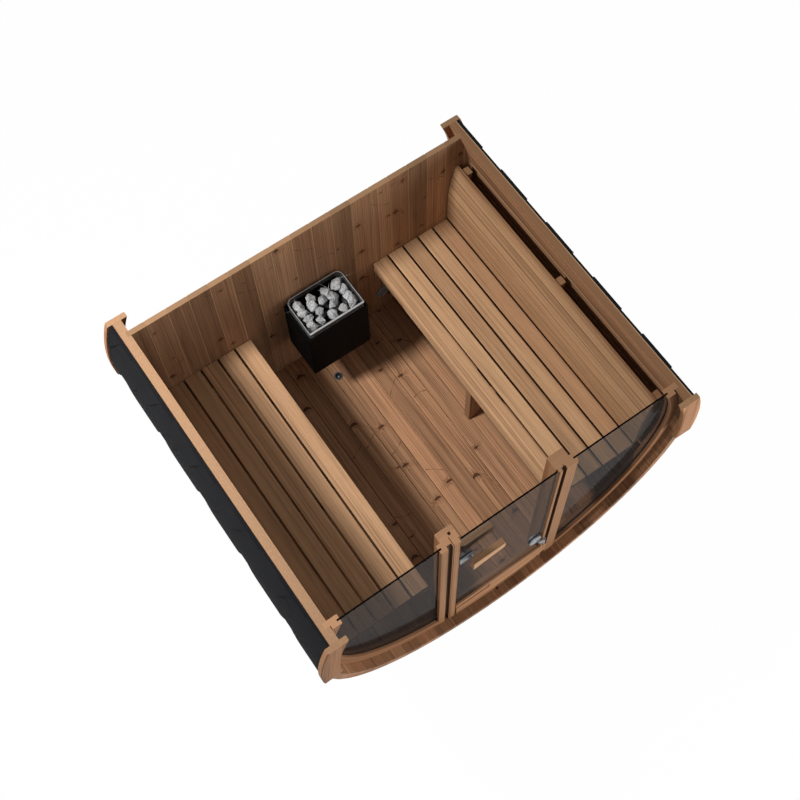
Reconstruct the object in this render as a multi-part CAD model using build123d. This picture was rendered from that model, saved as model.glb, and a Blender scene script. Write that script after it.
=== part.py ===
import os
from math import asin, ceil, cos, degrees, floor, radians, sin, sqrt
from build123d import *

# Cutaway barrel sauna. Millimetres. X runs across (the door's hinge side is +X), Y from the
# door (-Y) to the rear wall (+Y), Z up from the ground. The barrel lies along Y, and it is cut
# open by a level plane above its middle.

# barrel shell
outer_radius = 1045.0
stave_thickness = 42.0
shell_length = 1826.0
cut_above_axis = 352.0
ground_clearance = 60.0
stave_count = 54
first_seam_angle = -87.2
joint_groove = 3.0
shell_runs = ["left_top", "left_upper", "left_lower", "left_bottom",
              "right_bottom", "right_lower", "right_upper", "right_top"]
stave_hole_x = 3.0
stave_hole_from_front = 48.0
stave_hole_radius = 4.5
stave_hole_depth = 22.0

# end trims and roof covering
trim_inner_lap = 33.0
trim_outer_lap = 24.0
trim_thickness = 28.0
trim_end_angle = -6.0
trim_chamfer = 4.0
cover_thickness = 8.0
cover_end_angle = -7.0

# rear wall
rear_wall_inset = 69.0
rear_wall_thickness = 28.0
rear_wall_plank = 114.0
wall_groove_depth = 15.0

# glazed front
front_inset = 50.0
bead_depth = 18.0
frame_depth = 29.0
frame_rim = 50.0
bead_clearance = 6.0
frame_tenon = 21.0
frame_chamfer = 3.0
glass_thickness = 8.0
glass_bite = 14.0
glass_clearance = 0.5
window_foot_angle = -80.0

# door posts, each measured outwards from its inner face
post_inner_x = 262.0
post_width = 88.0
post_depth = 91.0
post_lug_width = 24.0
post_lug_depth = 45.0
post_rebate = 8.0
post_chamfer = 3.0
channel_depth = 18.0
left_channel_start = 50.0
left_channel_end = 75.0
right_channel_start = 24.0
right_channel_end = 48.0
kerf_width = 3.5
left_kerf_at = 44.0
left_kerf_depth = 46.0
right_kerf_at = 40.0
right_kerf_depth = 27.0
post_hole_at = 31.0
post_hole_from_front = 59.0
post_hole_radius = 8.0
post_hole_depth = 14.0

# door sill
sill_height = 110.0
sill_recess_length = 210.0
sill_recess_depth = 5.0
sill_recess_top = 14.0
sill_recess_bottom = 70.0
sill_lip = 12.0

# door
door_gap = 6.0
door_lap = 2.0
door_glass_setback = 8.0
lock_width = 76.0
lock_cheek = 7.0
lock_half_height = 31.0
lock_notch_cheek = 10.0
strike_half_height = 30.0
strike_width = 16.0
strike_thickness = 3.0
lever_height = 896.0
lever_length = 178.0
lever_depth = 32.0
lever_rise = 50.0
lever_drop = 36.0
lever_tip_drop = 4.0
lever_tip_chamfer = 4.0
lever_standoff = 21.0
lever_from_edge = 39.0
lever_corner = 12.0
spindle_radius = 9.0
spindle_inset = 5.0
hinge_disc_radius = 37.0
hinge_disc_thickness = 9.0
hinge_disc_round = 2.0
hinge_disc_inset = 4.0
hinge_height = 316.0
hinge_core_radius = 10.0
knuckle_radius = 6.5
knuckle_length = 32.0
knuckle_drop = 60.0
hinge_leaf = 6.0
pin_radius = 3.5
pin_clearance = 0.05
pin_from_glass_edge = 8.0
pin_from_bead = 12.0
plate_thickness = 4.0
plate_width = 18.0

# floor
floor_height = 142.0
floor_board_thickness = 28.0
floor_board_pitch = 96.0
floor_gap = 3.0
floor_end_gap = 2.0
floor_bevel = 2.0
joist_width = 60.0
joist_end_gap = 90.0
joist_count = 4
last_joist_shift = 60.0

# benches
bench_height = 550.0
bench_wall_gap = 10.0
bench_board_thickness = 28.0
bench_end_gap = 27.0
bench_bevel = 2.5
left_bench_inner_x = 389.0
left_board_width = 95.0
left_board_gap = 7.5
right_bench_inner_x = 387.0
right_board_width = 90.0
right_board_gap = 8.0
fascia_height = 52.0
fascia_thickness = 28.0
bearer_width = 60.0
bearer_end_gap = 30.0
bench_leg_thickness = 40.0
bench_leg_width = 110.0
bench_leg_behind_fascia = 4.0
bench_leg_before_middle = 16.0

# backrest, whose lower slats stand upright and whose upper slats lean back
backrest_foot_rise = 12.0
backrest_clearance = 67.0
backrest_slat_width = 61.0
backrest_top_slat_width = 78.0
backrest_gap = 4.0
backrest_leans = [0.0, 0.0, 0.0, 3.0, 9.0, 12.0, 12.0]
backrest_thickness = 18.0
upright_width = 44.0
upright_depth = 40.0
upright_front_gap = 28.0
upright_back_gap = 52.0
upright_middle_shift = 16.0

# heater
heater_x = 5.0
heater_width = 361.0
heater_depth = 246.0
heater_height = 428.0
heater_rise = 298.0
heater_wall_gap = 12.0
heater_skin = 8.0
heater_well = 130.0
heater_corner = 6.0
basket_inset = 13.0
basket_corner = 34.0
basket_wall = 4.0
basket_rise = 26.0
basket_rim_height = 6.0
basket_rim_lip = 9.0
bracket_inset = 60.0
stone_rows = 3
stone_columns = 4
stone_height = 92.0
stone_gap = 6.0
stone_chamfer = 16.0

# fittings
vent_x = 433.0
vent_height = 192.0
vent_radius = 43.0
vent_rim = 11.0
vent_stand = 12.0
vent_dish = 6.0
drain_x = -21.0
drain_y_from_front = 1510.0
drain_radius = 25.0
drain_rim = 5.0

# cradles
cradle_half_width = 560.0
cradle_thickness = 90.0
cradle_inset = 330.0
cradle_chamfer = 8.0
fit_gap = 0.3

inner_radius = outer_radius - stave_thickness
axis_z = ground_clearance + outer_radius
cut_z = axis_z + cut_above_axis
front_y = -shell_length / 2
back_y = shell_length / 2
beyond = outer_radius + ground_clearance + cut_above_axis
stave_pitch = 360.0 / stave_count
corner_factor = 1 / cos(radians(stave_pitch / 4))
clear_radius = inner_radius * corner_factor * cos(radians(stave_pitch / 2)) - 0.2
frame_inner_radius = inner_radius - frame_rim
bead_outer_radius = inner_radius - bead_clearance
base_z = axis_z - outer_radius
floor_z = base_z + floor_height
wall_y1 = back_y - rear_wall_inset
wall_y0 = wall_y1 - rear_wall_thickness
bead_y = front_y + front_inset
glass_y0 = bead_y + bead_depth
glass_y1 = glass_y0 + glass_thickness + 2 * glass_clearance
frame_back_y = glass_y0 + frame_depth
post_back_y = bead_y + post_depth
lug_x = post_inner_x + post_width + post_lug_width
sill_top_z = floor_z + sill_height
bench_z = floor_z + bench_height
bench_y0 = frame_back_y + bench_end_gap
bench_y1 = wall_y0 - floor_end_gap
door_half_width = post_inner_x + door_lap
door_y0 = bead_y + door_glass_setback
door_y1 = door_y0 + glass_thickness
lever_z = floor_z + lever_height
pin_x = door_half_width + pin_from_glass_edge
pin_y = bead_y - pin_from_bead

os.makedirs("parts", exist_ok=True)


def save(node, shape):
    solids = shape.solids() if hasattr(shape, "solids") else list(shape)
    body = solids[0] if len(solids) == 1 else Compound(children=list(solids))
    export_step(body, "parts/" + node + ".step")
    print(node, len(solids), "solids")


def block(x0, x1, y0, y1, z0, z1):
    return Pos((x0 + x1) / 2, (y0 + y1) / 2, (z0 + z1) / 2) * Box(x1 - x0, y1 - y0, z1 - z0)


def prism_y(points, y0, y1):
    """Section drawn in X and Z, carried from y0 to y1."""
    face = Plane.XZ.offset(-y0) * make_face(Polyline(*points, close=True))
    return extrude(face, amount=-(y1 - y0))


def prism_z(points, z0, z1):
    """Section drawn in X and Y, carried from z0 to z1."""
    face = Plane.XY.offset(z0) * make_face(Polyline(*points, close=True))
    return extrude(face, amount=z1 - z0)


def drum(radius, y0, y1):
    return Pos(0, (y0 + y1) / 2, axis_z) * Rot(90, 0, 0) * Cylinder(radius, y1 - y0)


def rod_y(x, z, radius, y0, y1):
    return Pos(x, (y0 + y1) / 2, z) * Rot(90, 0, 0) * Cylinder(radius, y1 - y0)


def polar(radius, angle):
    return radius * cos(radians(angle)), axis_z + radius * sin(radians(angle))


def wedge(a0, a1, y0, y1):
    """Everything between two angles seen from the barrel's axis."""
    steps = max(2, ceil((a1 - a0) / 40.0) + 1)
    rim = [polar(beyond * 1.1, a0 + (a1 - a0) * i / (steps - 1)) for i in range(steps)]
    return prism_y([(0, axis_z)] + rim, y0, y1)


def turned(profile):
    """Ring turned about the barrel's axis from a section of radius and Y."""
    face = Plane.XY.offset(axis_z) * make_face(Polyline(*profile, close=True))
    return revolve(face, axis=Axis((0, 0, axis_z), (0, 1, 0)), revolution_arc=360)


def below_cut(y0, y1):
    return block(-beyond, beyond, y0 - 1, y1 + 1, -10, cut_z)


def eased(x0, x1, z0, z1, bevel):
    """Section of a board with both top edges taken off."""
    return [(x0, z0), (x1, z0), (x1, z1 - bevel), (x1 - bevel, z1), (x0 + bevel, z1), (x0, z1 - bevel)]


def mirrored(shape):
    return mirror(shape, about=Plane.YZ)


def stave_seams():
    """Seam angles from the left cut, under the barrel, to the right cut."""
    cut_angle = degrees(asin(cut_above_axis / outer_radius))
    seams, angle = [], first_seam_angle
    while angle > -180.0 - cut_angle:
        seams.append(angle)
        angle -= stave_pitch
    seams.reverse()
    angle = first_seam_angle + stave_pitch
    while angle < cut_angle:
        seams.append(angle)
        angle += stave_pitch
    return seams


def stave_run(a0, a1, seams):
    """Flat-faced staves from a0 to a1 with a V at every seam between and half a V at the ends."""
    angles = [a0] + [a for a in seams if a0 + 0.5 < a < a1 - 0.5] + [a1]
    outer, inner = [], []
    for i, angle in enumerate(angles):
        for side in (-1, 0, 1):
            if (side < 0 and i == 0) or (side > 0 and i == len(angles) - 1):
                continue
            turn_out = degrees(joint_groove / outer_radius) * side
            turn_in = degrees(joint_groove / inner_radius) * side
            depth = joint_groove if side == 0 else 0
            outer.append(polar(outer_radius * corner_factor - depth, angle + turn_out))
            inner.append(polar(inner_radius * corner_factor + depth, angle + turn_in))
    return prism_y(outer + inner[::-1], front_y, back_y)


def shell():
    seams = stave_seams()
    cut_angle = degrees(asin(cut_above_axis / inner_radius)) + 2.0
    ends = [-180.0 - cut_angle] + seams + [cut_angle]
    pieces = len(shell_runs)
    bounds = [ends[round(i * (len(ends) - 1) / pieces)] for i in range(pieces + 1)]
    wall_groove = drum(inner_radius + wall_groove_depth, wall_y0, wall_y1)
    frame_groove = drum(inner_radius + frame_tenon, glass_y0, frame_back_y)
    hole_z = base_z + stave_thickness
    hole = Pos(stave_hole_x, front_y + stave_hole_from_front, hole_z) * Cylinder(stave_hole_radius,
                                                                                2 * stave_hole_depth)
    for name, a0, a1 in zip(shell_runs, bounds, bounds[1:]):
        run = stave_run(a0, a1, seams) & below_cut(front_y, back_y)
        save("shell_" + name, run - wall_groove - frame_groove - hole)


def trims():
    r0, r1, c = inner_radius - trim_inner_lap, outer_radius + trim_outer_lap, trim_chamfer
    for end, seat, free in (("front", front_y, front_y - trim_thickness),
                            ("back", back_y, back_y + trim_thickness)):
        step = c if free < seat else -c
        ring = turned([(r0, seat), (r1, seat), (r1, free + step), (r1 - c, free), (r0 + c, free),
                       (r0, free + step)])
        y0, y1 = min(seat, free), max(seat, free)
        arc = wedge(trim_end_angle, 30.0, y0 - 1, y1 + 1)
        right = ring & arc & below_cut(y0, y1)
        save(end + "_trim_right", right)
        save(end + "_trim_left", mirrored(right))


def covers():
    base = outer_radius * corner_factor + fit_gap
    ring = drum(base + cover_thickness, front_y, back_y) - drum(base, front_y - 1, back_y + 1)
    right = ring & wedge(cover_end_angle, 30.0, front_y - 1, back_y + 1) & below_cut(front_y, back_y)
    save("roof_covers", Compound(children=[right, mirrored(right)]))


def rear_wall():
    radius = inner_radius + wall_groove_depth
    count = ceil(2 * radius / rear_wall_plank) + 1
    start = -count / 2 * rear_wall_plank
    seams = [start + i * rear_wall_plank for i in range(count + 1)]
    v = joint_groove
    near = [(seams[0] - 60, wall_y0)]
    far = [(seams[0] - 60, wall_y1)]
    for x in seams:
        near += [(x - v, wall_y0), (x, wall_y0 + v), (x + v, wall_y0)]
        far += [(x - v, wall_y1), (x, wall_y1 - v), (x + v, wall_y1)]
    near.append((seams[-1] + 60, wall_y0))
    far.append((seams[-1] + 60, wall_y1))
    planks = prism_z(near + far[::-1], 0, cut_z)
    save("rear_wall", planks & drum(radius, wall_y0, wall_y1))


def front_ring():
    """Rebated ring: glazing bead, glass groove, and a tongue let into the staves."""
    r, c = frame_inner_radius, frame_chamfer
    tongue = inner_radius + frame_tenon
    return turned([(r + c, bead_y), (bead_outer_radius, bead_y), (bead_outer_radius, glass_y0),
                   (tongue, glass_y0), (tongue, frame_back_y), (r + c, frame_back_y),
                   (r, frame_back_y - c), (r, glass_y1), (r + glass_bite, glass_y1),
                   (r + glass_bite, glass_y0), (r, glass_y0), (r, bead_y + c)])


def post_section(side):
    """Section of the right post (side 1) or the left post (side -1), drawn with X positive."""
    x0, x1, x2 = post_inner_x, post_inner_x + post_width, lug_x
    y0, y1, c = bead_y, post_back_y, post_chamfer
    lug_y = y0 + post_lug_depth
    glass_x = x2 - glass_bite
    rebate_x, rebate_y = x0 + post_rebate, y0 + door_glass_setback + glass_thickness + door_gap
    deep = y0 + channel_depth
    k = kerf_width / 2
    if side > 0:
        channel = x0 + right_channel_start, x0 + right_channel_end
        kerf, kerf_y = x0 + right_kerf_at, y0 + right_kerf_depth
        points = [(rebate_x + c, y0), (channel[0], y0), (channel[0], deep), (kerf - k, deep),
                  (kerf - k, kerf_y), (kerf + k, kerf_y), (kerf + k, deep), (channel[1], deep)]
    else:
        channel = x0 + left_channel_start, x0 + left_channel_end
        kerf, kerf_y = x0 + left_kerf_at, y0 + left_kerf_depth
        points = [(rebate_x + c, y0), (kerf - k, y0), (kerf - k, kerf_y), (kerf + k, kerf_y),
                  (kerf + k, y0), (channel[0], y0), (channel[0], deep), (channel[1], deep)]
    points += [(channel[1], y0), (x2 - c, y0), (x2, y0 + c), (x2, glass_y0), (glass_x, glass_y0),
               (glass_x, glass_y1), (x2, glass_y1), (x2, lug_y), (x1, lug_y), (x1, y1 - c),
               (x1 - c, y1), (x0 + c, y1), (x0, y1 - c), (x0, rebate_y), (rebate_x, rebate_y),
               (rebate_x, y0 + c)]
    return [(side * x, y) for x, y in points]


def strike_block():
    x = -post_inner_x - post_rebate
    return block(x - strike_thickness, x, bead_y + post_chamfer, bead_y + post_chamfer + strike_width,
                 lever_z - strike_half_height, lever_z + strike_half_height)


def sill_nose():
    """The end of the sill that runs on in front of the right post's foot."""
    x0, x1 = post_inner_x, post_inner_x + right_channel_end
    nose = block(x0, x1, bead_y, bead_y + channel_depth, base_z, sill_top_z)
    return nose & drum(frame_inner_radius, bead_y, bead_y + channel_depth)


def posts():
    left = prism_z(post_section(-1), 0, cut_z) & drum(clear_radius, bead_y, post_back_y)
    left -= Pos(-post_inner_x - post_hole_at, bead_y + post_hole_from_front, cut_z) * Cylinder(
        post_hole_radius, 2 * post_hole_depth)
    save("left_door_post", left - strike_block())
    right = prism_z(post_section(1), 0, cut_z) & drum(clear_radius, bead_y, post_back_y)
    save("right_door_post", right - sill_nose())


def window_frames():
    side = block(lug_x, beyond, bead_y - 1, frame_back_y + 1, -10, cut_z)
    right = front_ring() & side & wedge(window_foot_angle, 30.0, bead_y - 1, frame_back_y + 1)
    save("right_window_frame", right)
    save("left_window_frame", mirrored(right))


def windows():
    x_in = lug_x - glass_bite + 1.0
    y0 = glass_y0 + glass_clearance
    y1 = y0 + glass_thickness
    pane = drum(frame_inner_radius + glass_bite - 1.0, y0, y1) & block(x_in, beyond, y0 - 1, y1 + 1, -10, cut_z)
    save("right_window_glass", pane)
    save("left_window_glass", mirrored(pane))


def sill():
    x = post_inner_x
    low = block(-x, x, bead_y - 1, frame_back_y + 1, -10, axis_z)
    save("sill_ring", front_ring() & low)
    board = block(-x, x, bead_y, frame_back_y, base_z, sill_top_z)
    board = (board & drum(frame_inner_radius, bead_y, frame_back_y)) + sill_nose()
    top, bottom = sill_top_z - sill_recess_top, sill_top_z - sill_recess_bottom
    end = -x + sill_recess_length
    recess = block(-x - 1, end, bead_y - 1, bead_y + sill_recess_depth, bottom, top)
    drip = bottom - sill_lip
    recess += prism_y([(-x - 1, drip), (end, drip), (end, drip - 3), (-x - 1, drip - 3)], bead_y - 1, bead_y + 3)
    save("door_sill", board - recess)


def room_width(z):
    """Half the clear width inside the shell at height z."""
    return sqrt(inner_radius ** 2 - (z - axis_z) ** 2)


def flooring():
    top, bottom = floor_z, floor_z - floor_board_thickness
    y0, y1 = frame_back_y + floor_end_gap, wall_y0 - floor_end_gap
    count = 2 * floor(room_width(top) / floor_board_pitch) + 1
    start = -count * floor_board_pitch / 2
    bevel = drum(clear_radius, y0 - 9, y1 + 9)
    notch = block(post_inner_x - 1, post_inner_x + post_width + 1, frame_back_y, post_back_y + 1, 0, cut_z)
    notch += mirrored(notch)
    drain_r = drain_radius - drain_rim
    hole = Pos(drain_x, front_y + drain_y_from_front, top) * Cylinder(drain_r, 200)
    boards = []
    for i in range(count):
        x0 = start + i * floor_board_pitch + floor_gap / 2
        section = eased(x0, x0 + floor_board_pitch - floor_gap, bottom, top, floor_bevel)
        boards.append((prism_y(section, y0, y1) & bevel) - hole - notch)
    save("floor_boards", Compound(children=boards))
    joists = []
    for i in range(joist_count):
        y = y0 + joist_end_gap + (y1 - y0 - 2 * joist_end_gap) * i / (joist_count - 1)
        if i == joist_count - 1:
            y -= last_joist_shift
        bar = block(-beyond, beyond, y - joist_width / 2, y + joist_width / 2, 0, bottom)
        joists.append(bar & drum(clear_radius, y - joist_width, y + joist_width))
    save("floor_joists", Compound(children=joists))


def bench(side, inner_x, width, gap):
    """Boards, as many as fit before the wall, and the fascia, bearers and leg of one bench."""
    under = bench_z - bench_board_thickness
    low = under - fascia_height
    count = floor((room_width(under) - bench_wall_gap - inner_x + gap) / (width + gap))
    boards = []
    for i in range(count):
        x0 = inner_x + i * (width + gap)
        boards.append(prism_y(eased(x0, x0 + width, under, bench_z, bench_bevel), bench_y0, bench_y1))
    behind = inner_x + fascia_thickness
    fascia = block(inner_x, behind, bench_y0, bench_y1, low, under)
    leg_y0 = -bench_leg_before_middle - bench_leg_thickness / 2
    leg_y1 = leg_y0 + bench_leg_thickness
    starts = [bench_y0 + bearer_end_gap, leg_y0 - bearer_width, bench_y1 - bearer_end_gap - bearer_width]
    bearers = []
    for y in starts:
        bar = block(behind, beyond, y, y + bearer_width, low, under)
        bearers.append(bar & drum(clear_radius, y - 9, y + bearer_width + 9))
    leg_x = behind + bench_leg_behind_fascia
    leg = block(leg_x, leg_x + bench_leg_width, leg_y0, leg_y1, floor_z, under)
    leg = leg & drum(clear_radius, leg_y0 - 9, leg_y1 + 9)
    name = "right" if side > 0 else "left"
    if side < 0:
        boards, bearers = [mirrored(b) for b in boards], [mirrored(b) for b in bearers]
        fascia, leg = mirrored(fascia), mirrored(leg)
    save(name + "_bench_seat", Compound(children=boards))
    return fascia, bearers, leg


def benches():
    left = bench(-1, left_bench_inner_x, left_board_width, left_board_gap)
    right = bench(1, right_bench_inner_x, right_board_width, right_board_gap)
    save("bench_fascias", Compound(children=[left[0], right[0]]))
    save("bench_bearers", Compound(children=left[1] + right[1]))
    save("bench_legs", Compound(children=[left[2], right[2]]))


def backrest():
    """Slats on a bent line, each leaning as much as its place asks, on three shaped uprights."""
    x, z = room_width(bench_z) - backrest_clearance, bench_z + backrest_foot_rise
    slats, front, t = [], [], backrest_thickness
    for i, lean in enumerate(backrest_leans):
        width = backrest_top_slat_width if i == len(backrest_leans) - 1 else backrest_slat_width
        ux, uz = sin(radians(lean)), cos(radians(lean))
        nx, nz = uz, -ux
        corners = [(x, z), (x + ux * width, z + uz * width)]
        slats.append(prism_y([corners[0], corners[1], (corners[1][0] + nx * t, corners[1][1] + nz * t),
                              (corners[0][0] + nx * t, corners[0][1] + nz * t)], bench_y0, bench_y1))
        front.append((corners[0][0] + nx * (t + fit_gap), corners[0][1] + nz * (t + fit_gap)))
        x, z = x + ux * (width + backrest_gap), z + uz * (width + backrest_gap)
        last = corners[1][0] + nx * (t + fit_gap) - ux * 6, corners[1][1] + nz * (t + fit_gap) - uz * 6
    front = front[:1] + front[3:] + [last]
    section = front + [(px + upright_depth, pz) for px, pz in reversed(front)]
    save("backrest_slats", Compound(children=slats))
    first, final = bench_y0 + upright_front_gap, bench_y1 - upright_back_gap
    middle = (first + final) / 2 - upright_middle_shift
    uprights = []
    for y in (first, middle, final):
        bar = prism_y(section, y - upright_width / 2, y + upright_width / 2)
        uprights.append(bar & drum(clear_radius, y - 60, y + 60))
    save("backrest_uprights", Compound(children=uprights))


def rounded(x0, x1, y0, y1, z0, z1, corner):
    """Upright case with rounded corners."""
    place = Plane.XY.offset(z0) * Pos((x0 + x1) / 2, (y0 + y1) / 2)
    return extrude(place * RectangleRounded(x1 - x0, y1 - y0, corner), amount=z1 - z0)


def heater():
    x0, x1 = heater_x - heater_width / 2, heater_x + heater_width / 2
    y1 = wall_y0 - heater_wall_gap
    y0 = y1 - heater_depth
    z0 = floor_z + heater_rise
    z1 = z0 + heater_height
    case_z = z1 - basket_rise
    well_z = case_z - heater_well
    s = heater_skin
    case = rounded(x0, x1, y0, y1, z0, case_z, heater_corner)
    case -= block(x0 + s, x1 - s, y0 + s, y1 - s, well_z, case_z + 1)
    save("heater_body", case)
    b, w = basket_inset, basket_wall
    sides = rounded(x0 + b, x1 - b, y0 + b, y1 - b, well_z, z1 - basket_rim_height, basket_corner)
    sides -= rounded(x0 + b + w, x1 - b - w, y0 + b + w, y1 - b - w, well_z - 1, z1 + 1, basket_corner - w)
    save("heater_basket", sides)
    lip = basket_rim_lip
    rim = rounded(x0 + b - w, x1 - b + w, y0 + b - w, y1 - b + w, z1 - basket_rim_height, z1, basket_corner + w)
    rim -= rounded(x0 + b - w + lip, x1 - b + w - lip, y0 + b - w + lip, y1 - b + w - lip,
                   z1 - basket_rim_height - 1, z1 + 1, basket_corner + w - lip)
    save("heater_rim", rim)
    bracket = block(x0 + bracket_inset, x1 - bracket_inset, y1, wall_y0, z0 + bracket_inset, case_z - bracket_inset)
    save("heater_bracket", bracket)
    inset = b + w + stone_gap
    step_x = (x1 - x0 - 2 * inset) / stone_columns
    step_y = (y1 - y0 - 2 * inset) / stone_rows
    stones = []
    for i in range(stone_columns):
        for j in range(stone_rows):
            at = Pos(x0 + inset + step_x * (i + 0.5), y0 + inset + step_y * (j + 0.5), well_z + stone_height / 2)
            rough = Box(step_x - stone_gap, step_y - stone_gap, stone_height)
            stones.append(at * chamfer(rough.edges(), stone_chamfer))
    save("heater_stones", Compound(children=stones))


def fittings():
    z, r = floor_z + vent_height, vent_radius
    vent = rod_y(vent_x, z, r, wall_y0 - vent_stand, wall_y0)
    vent -= rod_y(vent_x, z, r - vent_rim, wall_y0 - vent_stand - 1, wall_y0 - vent_stand + vent_dish)
    vent = chamfer(vent.faces().sort_by(Axis.Y)[0].edges(), 3)
    vent += rod_y(vent_x, z, r / 3, wall_y0 - vent_stand, wall_y0 - 1)
    save("wall_vent", vent)
    x, y = drain_x, front_y + drain_y_from_front
    rim = Pos(x, y, floor_z + 1.5) * Cylinder(drain_radius, 3)
    rim += Pos(x, y, floor_z - 10) * Cylinder(drain_radius - drain_rim, 22)
    rim -= Pos(x, y, floor_z) * Cylinder(drain_radius - 2 * drain_rim, 60)
    rim += Pos(x, y, floor_z - 12) * Cylinder(drain_radius - 2 * drain_rim, 6)
    save("floor_drain", rim)


def cradles():
    bars = []
    for y in (front_y + cradle_inset, 0.0, back_y - cradle_inset):
        h, c = cradle_half_width, cradle_chamfer
        top = axis_z - sqrt(outer_radius ** 2 - h * h)
        bar = prism_y([(-h + c, 0), (h - c, 0), (h, c), (h, top), (-h, top), (-h, c)],
                      y - cradle_thickness / 2, y + cradle_thickness / 2)
        bars.append(bar - drum(outer_radius * corner_factor + fit_gap, y - 99, y + 99))
    save("cradles", Compound(children=bars))


def levers():
    spindle_x = -door_half_width + lever_from_edge + spindle_radius + spindle_inset
    x0 = -door_half_width + lever_from_edge
    x1, z1, tip, c = x0 + lever_length, lever_z + lever_rise, lever_tip_chamfer, lever_corner
    outside, inside = door_y0 - lock_cheek - lever_standoff, door_y1 + lock_cheek + lever_standoff
    section = [(x0, lever_z - lever_drop), (x1 - tip, lever_z - lever_tip_drop),
               (x1, lever_z - lever_tip_drop + 2 * tip), (x1, z1), (x0, z1)]
    for name, free, near in (("outer_lever", outside - lever_depth, outside),
                             ("inner_lever", inside + lever_depth, inside)):
        bar = prism_y(section, min(free, near), max(free, near))
        back = near - c if near > free else near + c
        corner = prism_z([(x0 - 1, back), (x0 - 1, near), (x0 - 1, 2 * near - back),
                          (x0 + c, near)], lever_z - 2 * lever_drop, z1 + 1)
        save(name, bar - corner)
    save("lever_spindle", rod_y(spindle_x, lever_z, spindle_radius, outside, inside))
    return spindle_x


def hinge():
    """Clamp on the glass that lifts off a pin standing on the post's plate."""
    z = floor_z + hinge_height
    zk = z - knuckle_drop
    x = door_half_width - hinge_disc_radius - hinge_disc_inset
    r, t, h = hinge_disc_radius, hinge_disc_thickness, knuckle_length
    front = rod_y(x, z, r, door_y0 - t, door_y0)
    front = chamfer(front.faces().sort_by(Axis.Y)[0].edges(), hinge_disc_round)
    rear = rod_y(x, z, r, door_y1, door_y1 + t)
    rear = chamfer(rear.faces().sort_by(Axis.Y)[-1].edges(), hinge_disc_round)
    leaf = front + rear + rod_y(x, z, hinge_core_radius - 0.1, door_y0, door_y1)
    y0, y1 = pin_y - hinge_leaf / 2, pin_y + hinge_leaf / 2
    leaf += prism_y([(x + 8, z - 16), (x + 22, z - 16), (pin_x, zk + h), (pin_x, zk + 4), (x + 30, zk + 4)], y0, y1)
    leaf += prism_y([(x + 8, z - 16), (x + 22, z - 16), (x + 26, z - 24), (x + 13, z - 27)], y1, door_y0 - t / 2)
    leaf += Pos(pin_x, pin_y, zk + h / 2 + 0.3) * Cylinder(knuckle_radius, h)
    save("hinge_clamps", leaf - Pos(pin_x, pin_y, zk) * Cylinder(pin_radius + pin_clearance, 4 * h))
    plate = block(pin_x + 1, pin_x + plate_width, bead_y - plate_thickness, bead_y, zk - h - 4, zk + 4)
    plate += block(pin_x + 1, pin_x + knuckle_radius, pin_y, bead_y - 1, zk - h, zk)
    plate += Pos(pin_x, pin_y, zk - h / 2) * Cylinder(knuckle_radius, h)
    plate += Pos(pin_x, pin_y, zk + h / 2 - 6) * Cylinder(pin_radius, h)
    save("hinge_plate", plate)
    return rod_y(x, z, hinge_core_radius, door_y0 - 1, door_y1 + 1)


def door():
    half = door_half_width
    spindle_x = levers()
    low, high = lever_z - lock_half_height, lever_z + lock_half_height
    x0, x1 = -half, -half + lock_width
    notch_x1, notch_half = spindle_x + 12, lock_half_height - lock_notch_cheek
    notch = block(x0 - 1, notch_x1, door_y0 - 1, door_y1 + 1, lever_z - notch_half, lever_z + notch_half)
    glass = block(-half, half, door_y0, door_y1, sill_top_z + door_gap, cut_z)
    save("door_glass", glass - notch - hinge())
    case = block(x0, x1, door_y0 - lock_cheek, door_y0, low, high)
    case = chamfer(case.faces().sort_by(Axis.Y)[0].edges(), 1.5)
    case += block(x0 + 8, x1, door_y1, door_y1 + lock_cheek, low, high)
    case += block(x0, notch_x1 - 0.5, door_y0, door_y1, lever_z - notch_half + 0.5, lever_z + notch_half - 0.5)
    save("lock_case", case - rod_y(spindle_x, lever_z, spindle_radius + 0.05, door_y0 - 40, door_y1 + 40))
    save("strike_plate", strike_block())


shell()
trims()
covers()
rear_wall()
posts()
window_frames()
windows()
sill()
flooring()
benches()
backrest()
heater()
fittings()
cradles()
door()
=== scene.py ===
import random
from math import cos, degrees, radians, sin

import bmesh
import bpy
from mathutils import Matrix, Vector, noise


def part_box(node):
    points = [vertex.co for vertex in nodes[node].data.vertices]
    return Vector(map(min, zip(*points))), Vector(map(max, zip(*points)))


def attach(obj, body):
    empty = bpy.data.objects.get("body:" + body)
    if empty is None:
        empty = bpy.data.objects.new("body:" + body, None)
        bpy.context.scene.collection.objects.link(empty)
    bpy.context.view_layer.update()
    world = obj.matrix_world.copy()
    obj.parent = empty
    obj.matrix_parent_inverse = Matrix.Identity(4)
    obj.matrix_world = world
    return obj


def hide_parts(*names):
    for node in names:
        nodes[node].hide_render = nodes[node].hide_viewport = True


# Cutaway barrel sauna. Metres, Z up. The door faces -Y and the barrel lies along Y.

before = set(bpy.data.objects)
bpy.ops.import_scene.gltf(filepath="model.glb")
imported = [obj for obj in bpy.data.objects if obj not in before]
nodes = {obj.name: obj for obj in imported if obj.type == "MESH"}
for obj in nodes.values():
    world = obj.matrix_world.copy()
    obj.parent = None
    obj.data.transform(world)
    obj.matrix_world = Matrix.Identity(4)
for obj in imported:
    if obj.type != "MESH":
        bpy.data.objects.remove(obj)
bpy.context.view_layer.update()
print("frame loaded,", len(nodes), "nodes")

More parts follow.
